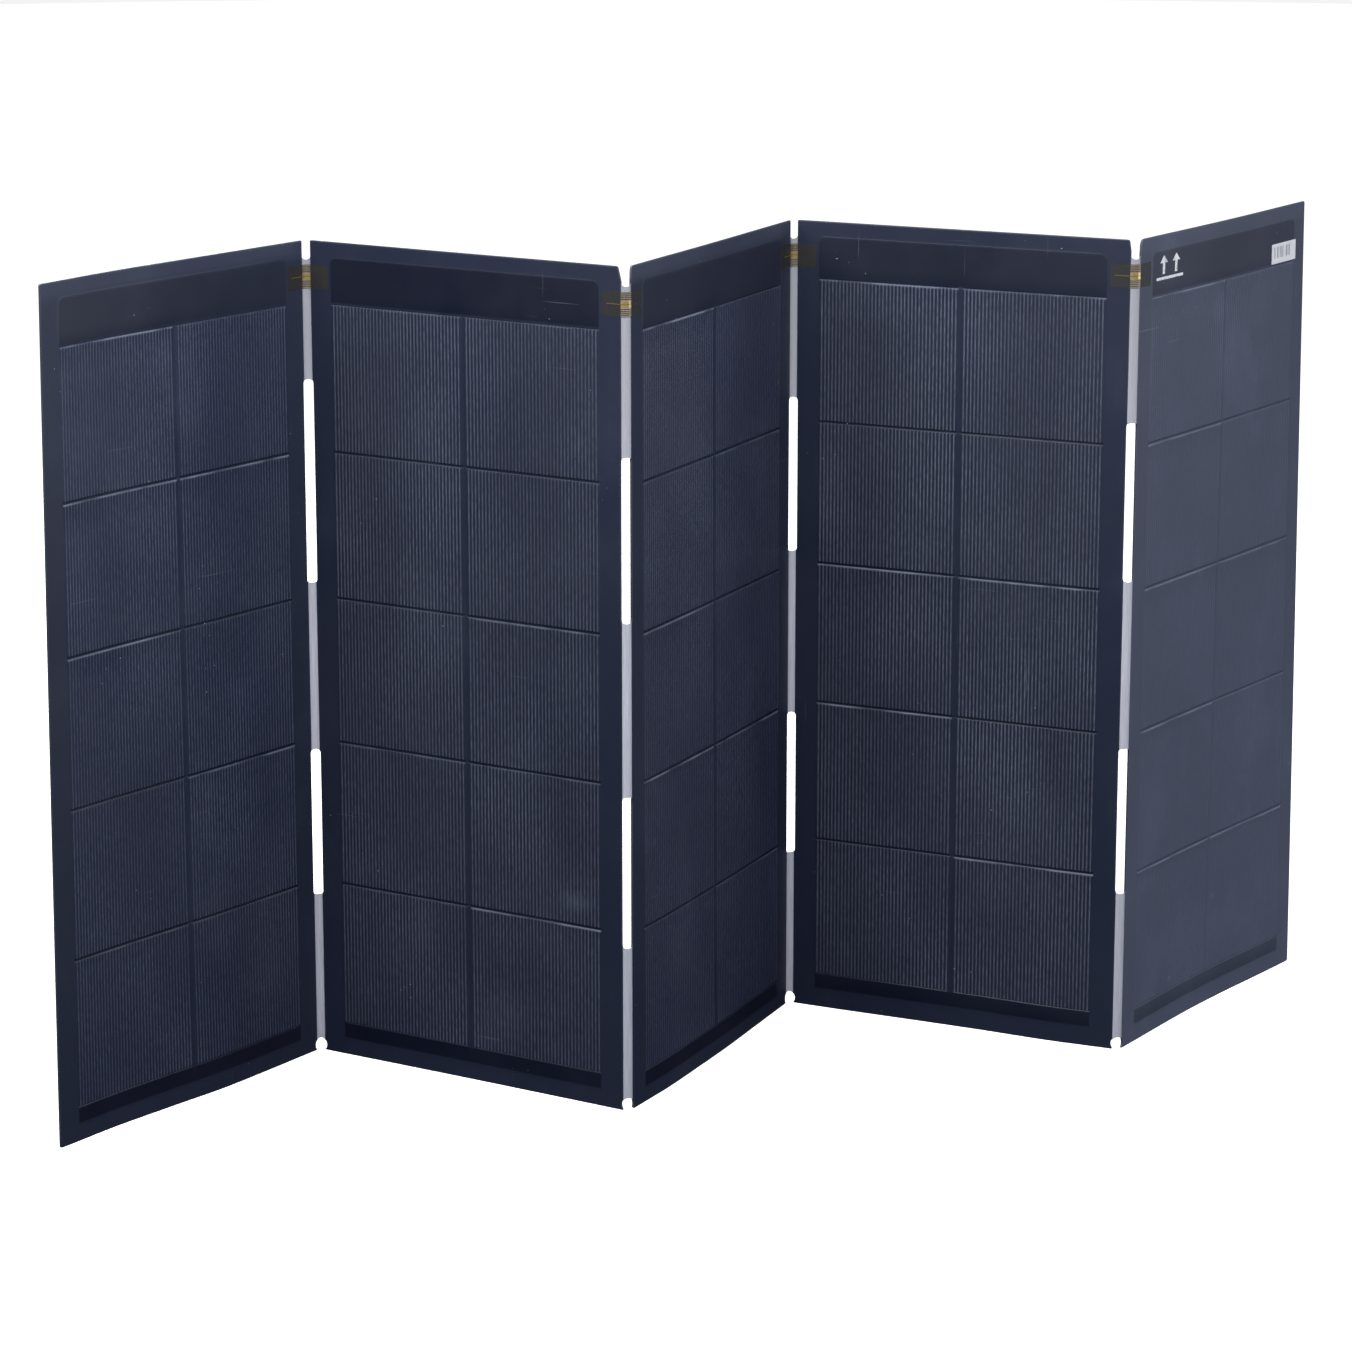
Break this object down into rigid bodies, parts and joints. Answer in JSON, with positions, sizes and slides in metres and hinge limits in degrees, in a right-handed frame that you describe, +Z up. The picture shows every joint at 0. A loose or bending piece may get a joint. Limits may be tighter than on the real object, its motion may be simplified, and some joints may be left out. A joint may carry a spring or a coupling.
{
  "type": "folding solar panel",
  "caption": "Free-standing zigzag row of thin laminated solar panels joined edge to edge by frosted film hinges, with flexible circuits over the folds.",
  "frame": {"origin": "middle of the standing row's footprint, on the ground", "axes": "+Z up, +X along the row from the first panel to the fifth, the cell side faces -Y"},
  "size_m": [1.4576, 0.3637, 0.885],
  "materials": {
    "front_film": "clear fluoropolymer front film, finely ribbed over the cell wires, satin",
    "encapsulant": "dark laminated encapsulant, satin",
    "cell": "dark blue mono cell, satin",
    "wire_foil": "clear foil with fine parallel wires",
    "tinned_copper": "tinned copper ribbon",
    "diode_case": "moulded black, matt",
    "cover_film": "near-black masking film, satin",
    "back_laminate": "black glass-fibre laminate, fine woven texture",
    "frosted_film": "pale translucent frosted film",
    "polyimide": "dark amber polyimide",
    "bare_copper": "gold-coloured flexible circuit copper",
    "black_housing": "moulded black, fine spark texture",
    "gasket_rubber": "moulded rubber",
    "zinc_steel": "zinc-plated steel",
    "socket_metal": "nickel-plated brass",
    "white_print": "white ink, matt"
  },
  "bodies": {
    "panel_1": {"front_sheet_1": "front_film", "encapsulant_1": "encapsulant", "cells_1": "cell", "wire_foils_1": "wire_foil", "busbar_ribbons_1": "tinned_copper", "bypass_diodes_1": "diode_case", "cover_strips_1": "cover_film", "back_board_1": "back_laminate", "hinge_film_1": "frosted_film", "flex_circuit_1": "polyimide", "flex_copper_1": "bare_copper", "junction_box": "black_housing", "junction_box_lid": "black_housing", "lid_gasket": "gasket_rubber", "lid_screws": "zinc_steel", "output_socket": "socket_metal", "terminal_block": "diode_case"},
    "panel_2": {"front_sheet_2": "front_film", "encapsulant_2": "encapsulant", "cells_2": "cell", "wire_foils_2": "wire_foil", "busbar_ribbons_2": "tinned_copper", "bypass_diodes_2": "diode_case", "cover_strips_2": "cover_film", "back_board_2": "back_laminate", "hinge_film_2": "frosted_film", "flex_circuit_2": "polyimide", "flex_copper_2": "bare_copper"},
    "panel_3": {"front_sheet_3": "front_film", "encapsulant_3": "encapsulant", "cells_3": "cell", "wire_foils_3": "wire_foil", "busbar_ribbons_3": "tinned_copper", "bypass_diodes_3": "diode_case", "cover_strips_3": "cover_film", "back_board_3": "back_laminate", "hinge_film_3": "frosted_film", "flex_circuit_3": "polyimide", "flex_copper_3": "bare_copper"},
    "panel_4": {"front_sheet_4": "front_film", "encapsulant_4": "encapsulant", "cells_4": "cell", "wire_foils_4": "wire_foil", "busbar_ribbons_4": "tinned_copper", "bypass_diodes_4": "diode_case", "cover_strips_4": "cover_film", "back_board_4": "back_laminate", "hinge_film_4": "frosted_film", "flex_circuit_4": "polyimide", "flex_copper_4": "bare_copper"},
    "panel_5": {"front_sheet_5": "front_film", "encapsulant_5": "encapsulant", "cells_5": "cell", "wire_foils_5": "wire_foil", "busbar_ribbons_5": "tinned_copper", "bypass_diodes_5": "diode_case", "cover_strips_5": "cover_film", "back_board_5": "back_laminate", "label": "white_print", "up_marks": "white_print"}
  },
  "joints": [
    {"name": "fold_2", "type": "hinge", "parent": "panel_3", "child": "panel_2", "pos_m": [-0.16293, -0.12985, 0.4425], "axis": [0, 0, -1], "range_deg": [-93, 84], "deforming": ["hinge_film_2", "flex_circuit_2", "flex_copper_2"]},
    {"name": "fold_1", "type": "hinge", "parent": "panel_2", "child": "panel_1", "pos_m": [-0.38894, 0.18184, 0.4425], "axis": [0, 0, 1], "range_deg": [-81.5, 97], "deforming": ["hinge_film_1", "flex_circuit_1", "flex_copper_1"]},
    {"name": "fold_3", "type": "hinge", "parent": "panel_3", "child": "panel_4", "pos_m": [0.14024, 0.10747, 0.4425], "axis": [0, 0, -1], "range_deg": [-87.5, 89.5], "deforming": ["hinge_film_3", "flex_circuit_3", "flex_copper_3"]},
    {"name": "fold_4", "type": "hinge", "parent": "panel_4", "child": "panel_5", "pos_m": [0.39509, -0.18113, 0.4425], "axis": [0, 0, 1], "range_deg": [-78, 100.5], "deforming": ["hinge_film_4", "flex_circuit_4", "flex_copper_4"]}
  ]
}
